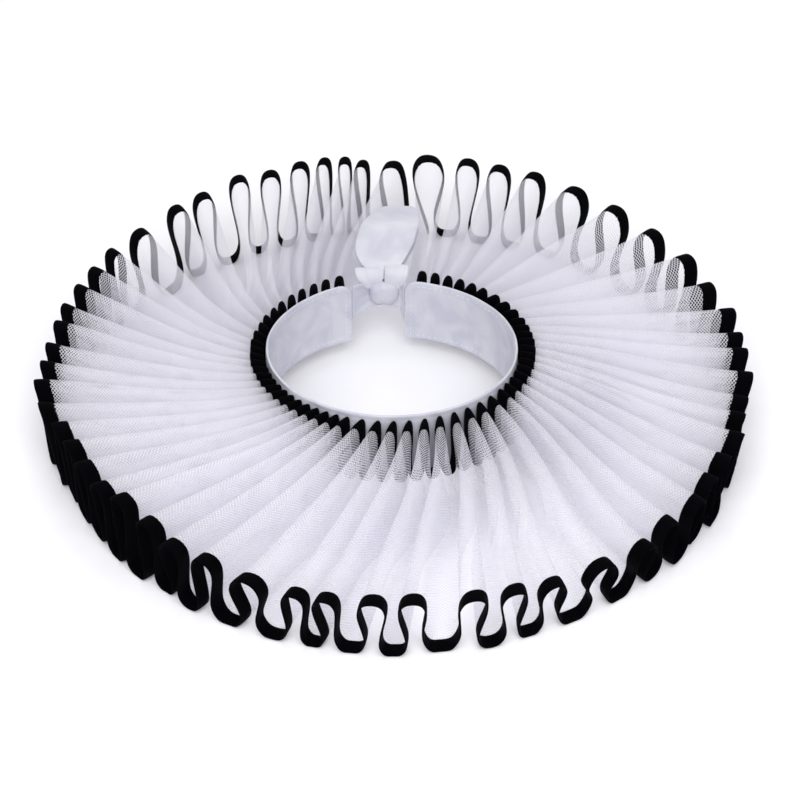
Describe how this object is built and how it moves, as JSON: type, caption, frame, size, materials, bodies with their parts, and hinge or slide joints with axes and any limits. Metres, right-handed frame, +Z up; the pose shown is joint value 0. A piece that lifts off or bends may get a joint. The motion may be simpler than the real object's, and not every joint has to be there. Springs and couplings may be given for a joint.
{
  "type": "pleated net ruff collar",
  "caption": "Detachable pleated net ruff collar with velvet edges, a satin neckband and a ribbon bow at the nape.",
  "frame": {"origin": "middle of the collar's bounding box, on the table that the lowest folds of the rim stand on", "axes": "+Z up through the neck hole, +Y towards the opening and bow at the nape, +X to the side"},
  "size_m": [0.3428, 0.3404, 0.059],
  "materials": {
    "net": "stiff white nylon net, see-through in one layer",
    "velvet": "black velvet ribbon",
    "satin": "soft white satin"
  },
  "bodies": {
    "root": {"ruffle_net": "net", "rim_ribbon": "velvet", "neck_ribbon": "velvet", "neckband": "satin", "tie_left": "satin", "tie_right": "satin", "tie_knot": "satin", "bow_loop": "satin", "bow_tail": "satin", "bow_fold_left": "satin", "bow_fold_right": "satin"}
  },
  "joints": []
}
